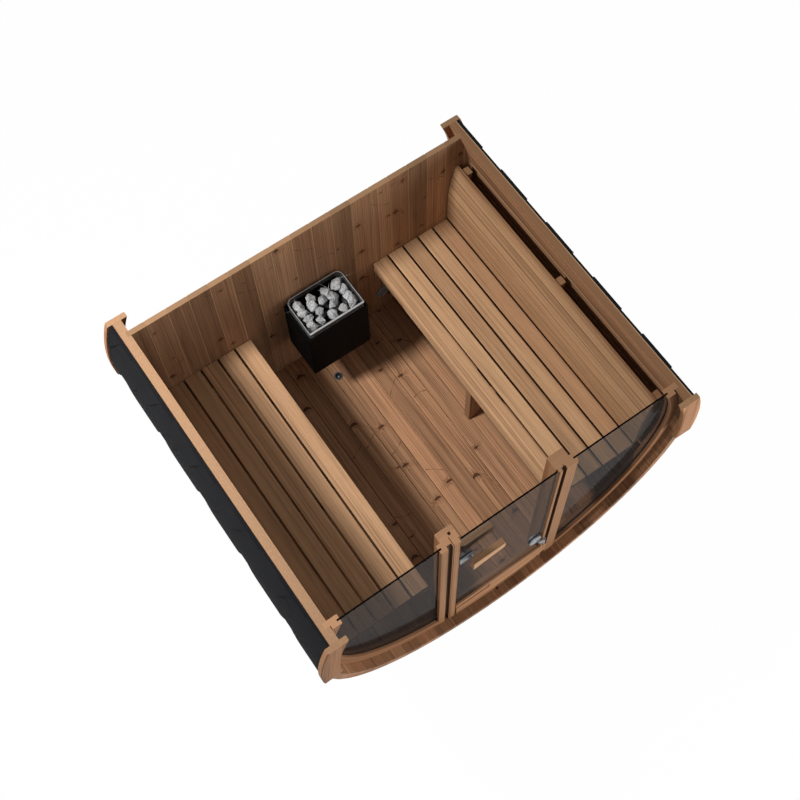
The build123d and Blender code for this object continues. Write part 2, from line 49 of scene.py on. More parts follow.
barrel = {
    "axisHeight": 1.105,
    "innerRadius": 1.003,        # of the staves
    "staves": 54,
    "firstSeam": -87.2,          # degrees, from +X, seen from the door
    "frameRadius": 0.953,        # inner edge of the curved window frames
    "frameHalf": 0.025,          # half the frames' width
}
boards = {                       # seams and pitches, measured across the boards
    "floorPitch": 0.096, "wallPitch": 0.114, "crossPitch": 0.060,
    "leftSeatSeam": 0.38525, "leftSeatPitch": 0.1025,
    "rightSeatSeam": 0.38300, "rightSeatPitch": 0.0980,
    "slatFoot": 0.762, "slatPitch": 0.065,
    "postMiddle": 0.31,
}
edgeReach = 0.0006               # how close to a face its finish still counts
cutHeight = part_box("rear_wall")[1].z
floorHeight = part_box("floor_boards")[1].z
shellFront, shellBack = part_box("shell_left_top")[0].y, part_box("shell_left_top")[1].y


class Val:                                   # one shader socket, written in sums like a number
    def __init__(self, finish, socket):
        self.finish = finish
        self.socket = socket

    def maths(self, operation, first, second=0.0):
        return self.finish.node("Math", {"operation": operation}, {0: first, 1: second})

    def __add__(self, other):
        return self.maths("ADD", self, other)

    def __radd__(self, other):
        return self.maths("ADD", other, self)

    def __sub__(self, other):
        return self.maths("SUBTRACT", self, other)

    def __rsub__(self, other):
        return self.maths("SUBTRACT", other, self)

    def __mul__(self, other):
        return self.maths("MULTIPLY", self, other)

    def __rmul__(self, other):
        return self.maths("MULTIPLY", other, self)

    def __truediv__(self, other):
        return self.maths("DIVIDE", self, other)

    def __lt__(self, other):
        return self.maths("LESS_THAN", self, other)

    def __gt__(self, other):
        return self.maths("GREATER_THAN", self, other)

    def floor(self):
        return self.maths("FLOOR", self)

    def fract(self):
        return self.maths("FRACT", self)

    def size(self):
        return self.maths("ABSOLUTE", self)

    def most(self, other):
        return self.maths("MAXIMUM", self, other)

    def ramp(self, start, stop):             # 0 at start, 1 at stop, eased at both ends
        sockets = {"Value": self, "From Min": start, "From Max": stop}
        return self.finish.node("MapRange", {"interpolation_type": "SMOOTHSTEP"}, sockets)


class Finish:                                # a node tree while it is being put together
    def __init__(self, owner):
        owner.use_nodes = True
        self.owner = owner
        self.tree = owner.node_tree
        self.tree.nodes.clear()

    def node(self, kind, settings, sockets, out=0):
        made = self.tree.nodes.new("ShaderNode" + kind)
        for key, value in settings.items():
            setattr(made, key, value)
        for key, value in sockets.items():
            if isinstance(value, Val):
                self.tree.links.new(value.socket, made.inputs[key])
            else:
                made.inputs[key].default_value = value
        return Val(self, made.outputs[out]) if len(made.outputs) else None

    def place(self):                         # x, y and z of the rest shape, in metres
        spot = self.node("TexCoord", {}, {}, "Object")
        return [self.node("SeparateXYZ", {}, {0: spot}, axis) for axis in "XYZ"]

    def vec(self, x, y, z):
        return self.node("CombineXYZ", {}, {"X": x, "Y": y, "Z": z})

    def distance(self, x, y, z):
        return self.node("VectorMath", {"operation": "LENGTH"}, {0: self.vec(x, y, z)}, "Value")

    def cloud(self, spot, scale, detail, rough):
        sockets = {"Vector": spot, "Scale": scale, "Detail": detail, "Roughness": rough}
        return self.node("TexNoise", {}, sockets)

    def dice(self, number):                  # three numbers from 0 to 1 that belong to a number
        thrown = self.node("TexWhiteNoise", {"noise_dimensions": "1D"}, {"W": number}, "Color")
        return [self.node("SeparateColor", {}, {0: thrown}, i) for i in range(3)]

    def blend(self, share, under, over, how="MIX"):
        settings = {"data_type": "RGBA", "blend_type": how, "clamp_factor": True}
        return self.node("Mix", settings, {0: share, 6: under, 7: over}, 2)

    def grey(self, value):
        return self.node("CombineColor", {}, {0: value, 1: value, 2: value})

    def finish(self, colour, roughness, height=None, step=0.0005, **shader):
        sockets = {"Base Color": colour, "Roughness": roughness}
        if height is not None:
            sockets["Normal"] = self.node("Bump", {}, {"Height": height, "Distance": step, "Strength": 1.0})
        for key, value in shader.items():
            sockets[key.replace("_", " ")] = value
        self.surface(self.node("BsdfPrincipled", {}, sockets))
        return self.owner

    def surface(self, shader):
        self.node("OutputMaterial", {}, {"Surface": shader})


def newFinish(name):
    return Finish(bpy.data.materials.new(name))


def rgb(red, green, blue):
    return (red, green, blue, 1.0)


def dress(material, *names):                 # gives carried-over nodes their finish
    for name in names:
        mesh = nodes[name].data
        mesh.materials.clear()
        mesh.materials.append(material)


def addPiece(name, bm, material, body):
    mesh = bpy.data.meshes.new(name)
    bmesh.ops.recalc_face_normals(bm, faces=bm.faces)
    bm.to_mesh(mesh)
    bm.free()
    piece = bpy.data.objects.new(name, mesh)
    bpy.context.scene.collection.objects.link(piece)
    mesh.materials.append(material)
    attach(piece, body)
    print("piece", name, len(mesh.polygons), "faces")
    return piece


# Wood. Each lay turns a place into: along the grain, across the board from its middle, into the
# wood, and the board's number. A number taken off a coordinate there moves the log's heart.

def staveLay(w, x, y, z):
    angle = w.node("Math", {"operation": "ARCTAN2"}, {0: z - barrel["axisHeight"], 1: x}) * degrees(1)
    pitch = 360 / barrel["staves"]
    turn = (angle - barrel["firstSeam"]) / pitch
    across = (turn.fract() - 0.5) * (radians(pitch) * barrel["innerRadius"])
    deep = w.distance(x, 0, z - barrel["axisHeight"]) - barrel["innerRadius"]
    count = {0: turn.floor(), 1: barrel["staves"]}
    return y, across, deep, w.node("Math", {"operation": "FLOORED_MODULO"}, count)


def ringLay(w, x, y, z):
    angle = w.node("Math", {"operation": "ARCTAN2"}, {0: z - barrel["axisHeight"], 1: x})
    reach = w.distance(x, 0, z - barrel["axisHeight"]) - barrel["frameRadius"] - barrel["frameHalf"]
    return angle * barrel["frameRadius"], reach, y, (x > 0) * 3 + (y > 0)


def floorLay(w, x, y, z):
    turn = x / boards["floorPitch"] + 0.5
    return y, (turn.fract() - 0.5) * boards["floorPitch"], z - floorHeight, turn.floor()


def wallLay(w, x, y, z):
    turn = x / boards["wallPitch"] + 0.5
    return z, (turn.fract() - 0.5) * boards["wallPitch"], y - 0.8, turn.floor()


def benchLay(w, x, y, z):
    right = x > 0
    pitch = boards["leftSeatPitch"] - right * (boards["leftSeatPitch"] - boards["rightSeatPitch"])
    seam = right * (boards["leftSeatSeam"] - boards["rightSeatSeam"])
    turn = (x.size() - boards["leftSeatSeam"] + seam) / pitch
    return y, (turn.fract() - 0.5) * pitch, z - 0.75, turn.floor() + right * 9


def backrestLay(w, x, y, z):
    turn = (z - boards["slatFoot"]) / boards["slatPitch"]
    return y, (turn.fract() - 0.5) * boards["slatPitch"], x - 0.88, turn.floor() + 40


def uprightLay(w, x, y, z):
    left = x < 0
    across = x - boards["postMiddle"] + left * (boards["postMiddle"] * 2)
    return z, across, y + 0.82, left + (y / 0.4).floor() * 5


def trimLay(w, x, y, z):
    left = x < 0
    lean = (z - 1.3) * 0.10
    return z, x.size() - 1.0 + lean, y, left * 3 + (y > 0) * 7


def crossLay(w, x, y, z):
    return x, z - 0.22, y + 0.85, (y / boards["crossPitch"]).floor()


def leverLay(w, x, y, z):
    return x, z - 1.10, y + 0.88, (y > -0.86) * 2


# Round knots, with a crack running off along the grain, and the halo where the grain bends
def roundKnots(w, look, along, across, board, second, wobble):
    turn = along / look["knotEvery"] + second * 3.1
    near, off, show = w.dice(board * 17.31 + turn.floor() * 3.7 + look["seed"])
    knotAlong = (turn.fract() - 0.25 - near * 0.5) * look["knotEvery"]
    knotAcross = across - (off - 0.5) * (look["width"] * 0.8)
    size = look["knotSize"] * (0.45 + near)
    shown = show < look["knots"]
    bent = knotAlong + knotAcross * knotAcross * (near - 0.5) * 60
    reach = w.distance(bent, knotAcross * look["knotWide"], 0) / size
    core = (reach + wobble).ramp(1.15, 0.7) * shown
    crack = (knotAcross + wobble * 0.004).size().ramp(*look["crackWidth"])
    crack = crack * (knotAlong.size() / size).ramp(6.0, 1.0) * shown * (near > 0.4)
    return core, crack, reach.ramp(4.2, 0.6) * shown, size


# Spike knots, which lie slantwise across a board
def spikeKnots(w, look, along, across, board, first, wobble, spread):
    turn = along / look["spikeEvery"] + first * 5.3
    tilt, bow, show = w.dice(board * 9.17 + turn.floor() * 5.9 + look["seed"])
    line = (turn.fract() - 0.3 - bow * 0.4) * look["spikeEvery"] - across * (tilt - 0.5) * 1.7
    line = line - across * across * (bow - 0.5) * 14 + wobble * 0.003
    spike = line.size().ramp(*look["spikeWidth"]) * (show < look["spikes"]) * spread.ramp(1.0, 0.75)
    return spike * (0.28 + spread.ramp(0.1, 0.75) * 0.72)


# Growth rings, cut at the slant that each board has in the log
def growthRings(w, look, along, across, deep, lot, swell):
    first, second, third = lot
    place = w.vec(along * 0.8 + third * 30, across * 5 + first * 9, deep * 5)
    sway = w.cloud(place, 1.0, 3.0, 0.5) - 0.5
    pith = (first - 0.5) * look["spread"]
    growth = w.distance(across + pith + sway * look["sway"], deep - second * 0.05 - 0.012, 0)
    saw = ((growth + swell * 0.9) * look["rings"]).fract()
    return saw.ramp(0.30, 0.85) * saw.ramp(1.0, 0.9)


def sawnFace(w, look, x, y, deep, second):   # where the level plane cuts through
    grain = w.cloud(w.vec(x * look["cutFine"][0], y * look["cutFine"][1], 0), 1.0, 3.0, 0.65)
    tone = w.grey(0.62 + grain * 0.76 + (second - 0.5) * 0.30)
    face = w.blend(1.0, rgb(*look["cutColour"]), tone, "MULTIPLY")
    if "cutRight" in look:                   # redder heartwood on the right, pale along the outer edge
        face = w.blend((x > 0) * look["cutRight"], face, rgb(*look["heartColour"]))
        face = w.blend((deep > look["sapDepth"]) * (x > 0) * 0.8, face, rgb(*look["sapColour"]))
    return face


def woodFinish(name, lay, look):
    w = newFinish(name)
    x, y, z = w.place()
    along, across, deep, board = lay(w, x, y, z)
    lot = w.dice(board + look["seed"])
    first, second, third = lot
    spread = (across / (look["width"] * 0.5)).size()
    wobble = (w.cloud(w.vec(along * 60, across * 60, deep * 60), 1.0, 2.0, 0.6) - 0.5) * 0.8
    core, crack, halo, size = roundKnots(w, look, along, across, board, second, wobble)
    spike = spikeKnots(w, look, along, across, board, first, wobble, spread)
    late = growthRings(w, look, along, across, deep, lot, halo * size)

    # fibres, streaks and broad bands
    run = along + third * 30
    fibre = w.cloud(w.vec(run * 12, across * 520, deep * 520), 1.0, 2.0, 0.6)
    streak = w.cloud(w.vec(run * 1.3, across * 120 + first * 20, deep * 120), 1.0, 3.0, 0.65)
    band = w.cloud(w.vec(run * 0.7, across * 26 + second * 20, deep * 26), 1.0, 2.0, 0.5)
    patch = w.cloud(w.vec(run * 2.2, across * 10, deep * 10), 1.0, 2.0, 0.5)

    dark = late * look["contrast"] + (0.52 - streak).most(0.0) * look["streaks"]
    dark = dark + (0.5 - fibre) * look["fibre"]
    light = 1 + (second - 0.5) * look["boards"] + (band - 0.5) * look["bands"]
    light = light + (patch - 0.5) * look["patches"]
    # darker towards the board edges where look["edge"] is above nought; below nought, as on the floor, it
    # is a painted highlight along both edges
    edge = 1 - spread.ramp(look["edgeAt"], 1.0) * look["edge"]
    colour = w.blend(first * 0.75 + band * 0.5 - 0.12, rgb(*look["warm"]), rgb(*look["pale"]))
    colour = w.blend(1.0, colour, w.grey((light - dark) * edge), "MULTIPLY")
    colour = w.blend(dark * 0.9, colour, rgb(*look["lateColour"]))
    colour = w.blend(halo * 0.35, colour, rgb(*look["haloColour"]))
    colour = w.blend((core * 0.85).most(crack * 0.7).most(spike * 0.8), colour, rgb(*look["knotColour"]))
    sawn = (z > cutHeight - edgeReach) * look["sawn"]
    colour = w.blend(sawn, colour, sawnFace(w, look, x, y, deep, second))

    below = z < cutHeight - edgeReach
    if "seamHighlightShare" in look:                  # painted highlight: a pale line beside each joint, where the edges of the groove catch the light
        line = spread.ramp(0.945, 0.970) * look["seamHighlightShare"] * below
        colour = w.blend(line, colour, rgb(*look["seamHighlightColour"]))
    # painted shade: the channel floors in the posts' fronts are darkened in colour to stand for the deep
    # shadow there
    for middle, half in look.get("channelShade", ()):
        front, back = look["channelFloor"]
        inside = ((x - middle).size() < half) * (y > front) * (y < back) * below
        colour = w.blend(inside * 0.75, colour, rgb(0.020, 0.009, 0.005))
    # painted shade: a near-black disc stands in for the dark inside of the hole
    if "hole" in look:
        holeX, holeY, radius = look["hole"]
        colour = w.blend(w.distance(x - holeX, y - holeY, 0) < radius, colour, rgb(0.004, 0.002, 0.002))
    if "gapTop" in look:                     # painted shade on the sides of boards, down in the gaps
        sunk = (z < look["gapTop"]) * (x.size() > look["gapStart"])
        colour = w.blend(sunk * 0.92, colour, rgb(0.012, 0.006, 0.003))
    roughness = look["roughness"] + (fibre - 0.5) * 0.16 - late * 0.05
    height = fibre * 0.35 + late * 0.4 + streak * 0.4 - core * 0.5 - crack
    return w.finish(colour, roughness, height, look["relief"], Specular_IOR_Level=0.08)


plainLook = {
    "warm": (0.40, 0.190, 0.097), "pale": (0.46, 0.252, 0.131), "lateColour": (0.16, 0.064, 0.029),
    "haloColour": (0.24, 0.10, 0.047), "knotColour": (0.045, 0.017, 0.010),
    "cutColour": (0.37, 0.200, 0.107),
    "seed": 0.37, "width": 0.114, "edgeAt": 0.93, "edge": 0.45, "sawn": 0.85, "cutFine": (240, 240),
    "rings": 150, "spread": 0.09, "sway": 0.030,
    "contrast": 0.32, "streaks": 1.8, "fibre": 0.3, "boards": 0.40, "bands": 0.8, "patches": 0.35,
    "knots": 0.45, "knotEvery": 0.34, "knotSize": 0.0085, "knotWide": 0.5, "crackWidth": (0.0026, 0.0008),
    "spikes": 0.35, "spikeEvery": 0.55, "spikeWidth": (0.0038, 0.0010),
    "roughness": 0.62, "relief": 0.00035,
}
staveLook = {
    **plainLook, "seed": 3.1, "boards": 0.55, "bands": 0.6, "streaks": 1.5, "contrast": 0.26, "edge": 0.0,
    "warm": (0.35, 0.168, 0.085), "pale": (0.39, 0.208, 0.108), "cutColour": (0.33, 0.195, 0.110),
    "knots": 0.03, "spikes": 0.05, "seamHighlightShare": 0.45, "seamHighlightColour": (0.50, 0.33, 0.19),
    "cutFine": (230, 60), "cutRight": 0.65, "heartColour": (0.17, 0.075, 0.032),
    "sapDepth": 0.0385, "sapColour": (0.55, 0.36, 0.21),
    "hole": (0.003, -0.865, 0.0078),         # painted shade: a black disc for the drilled hole in the lowest stave: x, y and radius
}
wallLook = {
    **plainLook, "seed": 7.7, "boards": 0.70, "bands": 0.45, "streaks": 1.1, "contrast": 0.22, "edge": 0.0,
    "warm": (0.37, 0.196, 0.108), "pale": (0.44, 0.258, 0.144), "lateColour": (0.16, 0.076, 0.038),
    "knots": 0.55, "knotWide": 0.62, "knotEvery": 0.30, "spikes": 0.75,
    "seamHighlightShare": 0.8, "seamHighlightColour": (0.66, 0.45, 0.27), "cutColour": (0.27, 0.155, 0.082),
}
floorLook = {
    # edge below nought: a painted highlight along both edges of each board
    **plainLook, "seed": 12.9, "width": 0.093, "edge": -0.2, "edgeAt": 0.90,
    "warm": (0.46, 0.228, 0.120), "pale": (0.54, 0.300, 0.163),
    "contrast": 0.20, "streaks": 1.5, "spikes": 0.4,
    "knots": 0.55, "knotEvery": 0.26, "knotSize": 0.0078, "knotWide": 0.38,
}
frameLook = {
    **plainLook, "seed": 5.3, "width": 0.30, "edge": 0.0, "knots": 0.0, "spikes": 0.0,
    "rings": 190, "bands": 0.3, "streaks": 1.2, "contrast": 0.24,
    "warm": (0.43, 0.205, 0.100), "pale": (0.50, 0.262, 0.134),
}
trimLook = {
    **frameLook, "seed": 9.2, "sawn": 0.8, "cutFine": (160, 60), "cutColour": (0.35, 0.205, 0.114),
    "warm": (0.40, 0.182, 0.080), "pale": (0.46, 0.232, 0.110),
}
benchLook = {
    **plainLook,
    "warm": (0.57, 0.325, 0.176), "pale": (0.62, 0.385, 0.212), "lateColour": (0.25, 0.116, 0.056),
    "seed": 21.4, "width": 0.090, "edge": 0.0, "knots": 0.0, "spikes": 0.0,
    "rings": 260, "spread": 0.16, "sway": 0.016, "contrast": 0.22, "streaks": 1.2,
    "boards": 0.20, "bands": 0.36, "patches": 0.20,
}
ringLook = {**frameLook, "warm": (0.30, 0.140, 0.068), "pale": (0.35, 0.182, 0.092)}
postLook = {
    **frameLook, "contrast": 0.13, "streaks": 0.9, "rings": 150,
    "warm": (0.29, 0.136, 0.062), "pale": (0.34, 0.174, 0.083),
    "channelShade": ((-0.3245, 0.0130), (0.2980, 0.0125)),       # painted shade in the channels: middle and half the width, in x
    "channelFloor": (-0.8622, -0.84),                        # from and to, in y
}
# gapTop and gapStart bound the painted shade in the gaps between the seat boards
seatLook = {**benchLook, "gapTop": 0.7475, "gapStart": 0.40}
backrestLook = {
    **benchLook, "seed": 30.2, "width": 0.061, "streaks": 1.7, "edge": 0.3, "edgeAt": 0.85,
    "warm": (0.42, 0.234, 0.122), "pale": (0.46, 0.275, 0.147),
}
legLook = {
    **benchLook,
    "warm": (0.30, 0.155, 0.080), "pale": (0.36, 0.205, 0.108), "cutColour": (0.26, 0.14, 0.075),
}
leverLook = {**benchLook, "seed": 2.2, "width": 0.2}

dress(woodFinish("stave wood", staveLay, staveLook), *[n for n in nodes if n.startswith("shell_")])
dress(woodFinish("wall wood", wallLay, wallLook), "rear_wall")
dress(woodFinish("floor wood", floorLay, floorLook), "floor_boards", "floor_joists")
dress(woodFinish("curved frame wood", ringLay, ringLook),
      "left_window_frame", "right_window_frame", "sill_ring")
dress(woodFinish("post wood", uprightLay, postLook), "left_door_post", "right_door_post")
dress(woodFinish("trim wood", trimLay, trimLook), *[n for n in nodes if "_trim_" in n])
dress(woodFinish("bench wood", benchLay, benchLook), "bench_fascias")
dress(woodFinish("leg wood", uprightLay, legLook), "backrest_uprights", "bench_legs", "bench_bearers")
dress(woodFinish("backrest wood", backrestLay, backrestLook), "backrest_slats")
dress(woodFinish("sill and cradle wood", crossLay, frameLook), "door_sill", "cradles")
dress(woodFinish("lever wood", leverLay, leverLook), "outer_lever", "inner_lever")
print("woods done")


# Bench seats: boards with rounded-over edges and open gaps between them

seats = {
    "left": {"start": 0.3890, "width": 0.0915, "pitch": boards["leftSeatPitch"]},
    "right": {"start": 0.3870, "width": 0.0870, "pitch": boards["rightSeatPitch"]},
    "boards": 5,
    "edge": 0.0035, "edgeShare": 0.3,        # rounding, and how near its middle comes to the corner
}


def buildSeat(side, material):
    low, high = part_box(side + "_bench_seat")
    seat, sign = seats[side], 1 if side == "right" else -1
    outermost = max(abs(low.x), abs(high.x))
    edge, near = seats["edge"], seats["edge"] * seats["edgeShare"]
    bm = bmesh.new()
    for i in range(seats["boards"]):
        x0 = seat["start"] + seat["pitch"] * i
        x1 = outermost if i == seats["boards"] - 1 else x0 + seat["width"]
        section = [(x0, low.z + edge), (x0 + edge, low.z), (x1 - edge, low.z), (x1, low.z + edge),
                   (x1, high.z - edge), (x1 - near, high.z - near), (x1 - edge, high.z),
                   (x0 + edge, high.z), (x0 + near, high.z - near), (x0, high.z - edge)]
        ends = [[bm.verts.new((sign * x, y, z)) for x, z in section] for y in (low.y, high.y)]
        for k in range(len(section)):
            n = (k + 1) % len(section)
            bm.faces.new((ends[0][k], ends[0][n], ends[1][n], ends[1][k]))
        bm.faces.new(ends[0])
        bm.faces.new(ends[1])
    top = addPiece(side + "_bench_boards", bm, material, "sauna")
    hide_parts(side + "_bench_seat")


seatMaterial = woodFinish("seat wood", benchLay, seatLook)
for side in ("left", "right"):
    buildSeat(side, seatMaterial)


# Roof covering: rows of hexagonal tabs, each rising towards its lower edge

roof = {
    "rows": 4, "tabsPerRow": 6,
    "tabPitch": 0.365,           # along the barrel
    "firstTab": 0.266,           # middle of a tab in the top row, from the shell's front
    "tabFoot": 0.200,            # width of a tab's lower edge
    "tabLength": 0.200, "tabSteps": 6,
    "slant": 0.577,              # how much a tab widens upwards, on each side
    "sideGap": 0.0015, "endGap": 0.0005, "narrowest": 0.004,
    "rowDepth": 0.145,
    "firstRow": 0.010,           # lower edge of the top row, measured down the curve from the cut
    "thickness": 0.0078,
    "skinRadius": 1.0540, "lift": 0.0004, "sink": 0.002,
    "cutAngle": 19.52, "lowest": -6.8,       # degrees
    "stroke": (0.0042, 0.0020),  # painted shadow line beside a tab, from nothing to full
    "strokeTop": (0.105, 0.075),
}


def shingleFinish():
    s = newFinish("roof shingle")
    x, y, z = s.place()
    spot = s.vec(x, y, z)
    grit = s.cloud(spot, 700, 2.0, 0.7)
    patch = s.cloud(spot, 9, 3.0, 0.6)
    chip = s.node("TexVoronoi", {}, {"Vector": spot, "Scale": 420.0}, "Distance")
    angle = s.node("Math", {"operation": "ARCTAN2"}, {0: z - barrel["axisHeight"], 1: x.size()})
    down = (radians(roof["cutAngle"]) - angle) * roof["skinRadius"] - roof["firstRow"]
    row = (down / roof["rowDepth"]).floor() + 1
    up = row * roof["rowDepth"] - down       # above the foot of the tab that shows here
    odd = row - (row * 0.5).floor() * 2
    turn = (y - shellFront - roof["firstTab"] + roof["tabFoot"] / 2 + up * roof["slant"]) / roof["tabPitch"]
    off = ((turn - odd * 0.5 + 0.5).fract() - 0.5).size() * roof["tabPitch"]
    # painted shadow: a dark stroke beside each tab's slanted side
    shade = off.ramp(*roof["stroke"]) * up.ramp(*roof["strokeTop"]) * (down > -0.005)
    tone = 0.005 + grit * 0.006 + (patch - 0.5) * 0.005 + chip * 0.004
    colour = s.blend(1.0, s.grey(tone * (1 - shade * 0.88)), rgb(0.95, 0.97, 1.08), "MULTIPLY")
    return s.finish(colour, 0.92 - chip * 0.12, grit * 0.6 + chip, 0.0010, Specular_IOR_Level=0.06)


def tabRow(bm, side, row):
    reach = shellBack - shellFront
    foot = roof["firstRow"] + row * roof["rowDepth"]
    for k in range(-1, roof["tabsPerRow"]):
        middle = roof["firstTab"] + roof["tabPitch"] * (k + 0.5 * (row % 2))
        loops = []
        for step in range(roof["tabSteps"] + 1):
            up = min(roof["tabLength"] * step / roof["tabSteps"], foot)
            half = min(roof["tabFoot"] / 2 + roof["slant"] * up, roof["tabPitch"] / 2 - roof["sideGap"])
            near, far = max(middle - half, roof["endGap"]), min(middle + half, reach - roof["endGap"])
            angle = roof["cutAngle"] - degrees((foot - up) / roof["skinRadius"])
            if far - near < roof["narrowest"] or angle < roof["lowest"]:
                continue
            rise = roof["lift"] + roof["thickness"] * (1 - up / roof["tabLength"])
            corners = ((-roof["sink"], near), (rise, near), (rise, far), (-roof["sink"], far))
            loop = []
            for lift, along in corners:
                radius = roof["skinRadius"] + lift
                height = min(barrel["axisHeight"] + radius * sin(radians(angle)), cutHeight)
                out = side * radius * cos(radians(angle))
                loop.append(bm.verts.new((out, shellFront + along, height)))
            loops.append(loop)
            if up == foot:
                break
        for a, b in zip(loops, loops[1:]):
            for i in range(4):
                face = bm.faces.new((a[i], a[(i + 1) % 4], b[(i + 1) % 4], b[i]))
                # the two sides take the second material, painted shade
                face.material_index = 1 if i in (0, 2) else 0
        if len(loops) > 1:
            bm.faces.new(loops[0])
            bm.faces.new(loops[-1])


def shingleShadedEdgeFinish():                     # painted shade on the cut sides of the tabs
    s = newFinish("shingle edge painted shade")
    x, y, z = s.place()
    grit = s.cloud(s.vec(x, y, z), 500, 2.0, 0.7)
    return s.finish(s.grey(0.0012 + grit * 0.0015), 0.95, Specular_IOR_Level=0.0)


shingleMaterial = shingleFinish()
edgeShadeMaterial = shingleShadedEdgeFinish()
dress(shingleMaterial, "roof_covers")
for side, name in ((-1, "roof_tabs_left"), (1, "roof_tabs_right")):
    tabs = bmesh.new()
    for row in range(roof["rows"]):
        tabRow(tabs, side, row)
    piece = addPiece(name, tabs, shingleMaterial, "sauna")
    piece.data.materials.append(edgeShadeMaterial)


# Glass and metal

glass = {
    "tint": (0.028, 0.026, 0.025), "cutTint": (0.003, 0.003, 0.003),
    "cover": 0.44,               # share of the light that the tint stops
    "mirror": 0.20, "roughness": 0.03, "index": 1.5,
    "cutReach": 0.0004,
}


def glassFinish():                           # smoked, mirroring on its outer face
    g = newFinish("smoked glass")
    x, y, z = g.place()
    cut = z > cutHeight - glass["cutReach"]
    door, window = (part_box(name)[0].y for name in ("door_glass", "left_window_glass"))
    outer = ((y - door).size() < edgeReach).most((y - window).size() < edgeReach)
    colour = g.blend(cut, rgb(*glass["tint"]), rgb(*glass["cutTint"]))
    return g.finish(colour, glass["roughness"], Alpha=glass["cover"] + cut * (1 - glass["cover"]),
                    Coat_Weight=outer * (1 - cut) * glass["mirror"], Coat_Roughness=glass["roughness"],
                    Coat_IOR=glass["index"], Specular_IOR_Level=0.0)


def chromeFinish():
    c = newFinish("satin chrome")
    x, y, z = c.place()
    smear = c.cloud(c.vec(x, y, z), 55, 3.0, 0.6)
    colour = c.blend(1.0, c.grey(0.24 + smear * 0.12), rgb(0.95, 0.98, 1.03), "MULTIPLY")
    return c.finish(colour, 0.48 + smear * 0.14, Metallic=0.55)


def blackSteelFinish():
    b = newFinish("heater black")
    x, y, z = b.place()
    spot = b.vec(x, y, z)
    peel = b.cloud(spot, 260, 2.0, 0.5)
    dust = b.cloud(spot, 9, 4.0, 0.6)
    tone = 0.0012 + dust * 0.002
    return b.finish(b.grey(tone), 0.55 + dust * 0.16, peel, 0.0002, Specular_IOR_Level=0.05)


def steelFinish(name, tone):
    s = newFinish(name)
    x, y, z = s.place()
    brush = s.cloud(s.vec(x * 40, y * 40, z * 900), 1.0, 2.0, 0.6)
    return s.finish(s.grey(tone * (0.86 + brush * 0.28)), 0.46 + brush * 0.16, brush, 0.0001, Metallic=0.6)


drain = {"rim": (0.0150, 0.0205), "plugHighlight": (0.0070, 0.0040)}      # radii of the painted shade in the mouth and of the painted highlight on the plug, from nothing to full


def drainFinish():                           # painted shade in the mouth, painted highlight on the plug
    d = newFinish("drain steel")
    x, y, z = d.place()
    low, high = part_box("floor_drain")
    middle = (low + high) / 2
    reach = d.distance(x - middle.x, y - middle.y, 0)
    ring = reach.ramp(*drain["rim"])
    plugHighlight = reach.ramp(*drain["plugHighlight"])
    # painted shade inside the rim, painted highlight at the middle
    tone = 0.012 + ring * 0.075 + plugHighlight * 0.34
    colour = d.blend(1.0, d.grey(tone), rgb(0.93, 0.98, 1.06), "MULTIPLY")
    return d.finish(colour, 0.4 + ring * 0.15, Metallic=0.2)


def plasticFinish():
    p = newFinish("vent grey")
    x, y, z = p.place()
    soft = p.cloud(p.vec(x, y, z), 120, 2.0, 0.5)
    colour = p.blend(1.0, p.grey(0.30 + soft * 0.05), rgb(0.95, 1.0, 1.06), "MULTIPLY")
    return p.finish(colour, 0.45 + soft * 0.1, soft, 0.0001)


dress(glassFinish(), "left_window_glass", "right_window_glass", "door_glass")
dress(chromeFinish(), "hinge_clamps", "hinge_plate", "lock_case", "lever_spindle", "strike_plate")
dress(drainFinish(), "floor_drain")
dress(blackSteelFinish(), "heater_body", "heater_bracket")
dress(plasticFinish(), "wall_vent")
print("glass and metal done")


# Heater basket of expanded metal: slanting strands that cross in diamonds, under a flat rim. Its
# two corners by the wall are round, and its front runs flush with the case.

basket = {
    "columns": 66, "rows": 11,
    "height": 0.132,             # of mesh, below the rim
    "strand": 0.0030, "thickness": 0.0014, "meshInset": 0.0016, "meshTone": 0.13,
    "rimLift": 0.018,            # how far the rim stands above the solid's
    "rimWidth": 0.0030, "frontRimWidth": 0.0095, "rimHeight": 0.0035, "rimTone": 0.42,
    "sideInset": 0.015, "frontInset": 0.007, "backInset": 0.004,
    "frontCorner": 0.006, "backCorner": 0.034, "smallestCorner": 0.001,
    "cornerSteps": 9,
}
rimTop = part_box("heater_rim")[1].z + basket["rimLift"]


def basketLoop(inset, frontInset):           # round the basket from above, with its ways out
    low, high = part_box("heater_body")
    x0, x1 = low.x + basket["sideInset"] + inset, high.x - basket["sideInset"] - inset
    y0, y1 = low.y + basket["frontInset"] + frontInset, high.y - basket["backInset"] - inset
    front = max(basket["frontCorner"] - inset, basket["smallestCorner"])
    back = basket["backCorner"] - inset
    corners = [(x1 - front, y0 + front, front, -90), (x1 - back, y1 - back, back, 0),
               (x0 + back, y1 - back, back, 90), (x0 + front, y0 + front, front, 180)]
    loop = []
    for x, y, radius, start in corners:
        for step in range(basket["cornerSteps"] + 1):
            angle = radians(start + 90 / basket["cornerSteps"] * step)
            out = Vector((cos(angle), sin(angle), 0))
            loop.append((Vector((x, y, 0)) + out * radius, out))
    return loop


def walkLoop(loop, count):                   # the same loop in equal steps
    spans = [(loop[(i + 1) % len(loop)][0] - spot).length for i, (spot, _) in enumerate(loop)]
    whole = sum(spans)
    spots, i, gone = [], 0, 0.0
    for k in range(count):
        goal = whole * k / count
        while gone + spans[i] < goal:
            gone += spans[i]
            i += 1
        share = (goal - gone) / spans[i]
        (a, outA), (b, outB) = loop[i], loop[(i + 1) % len(loop)]
        spots.append((a.lerp(b, share), outA.lerp(outB, share).normalized()))
    return spots


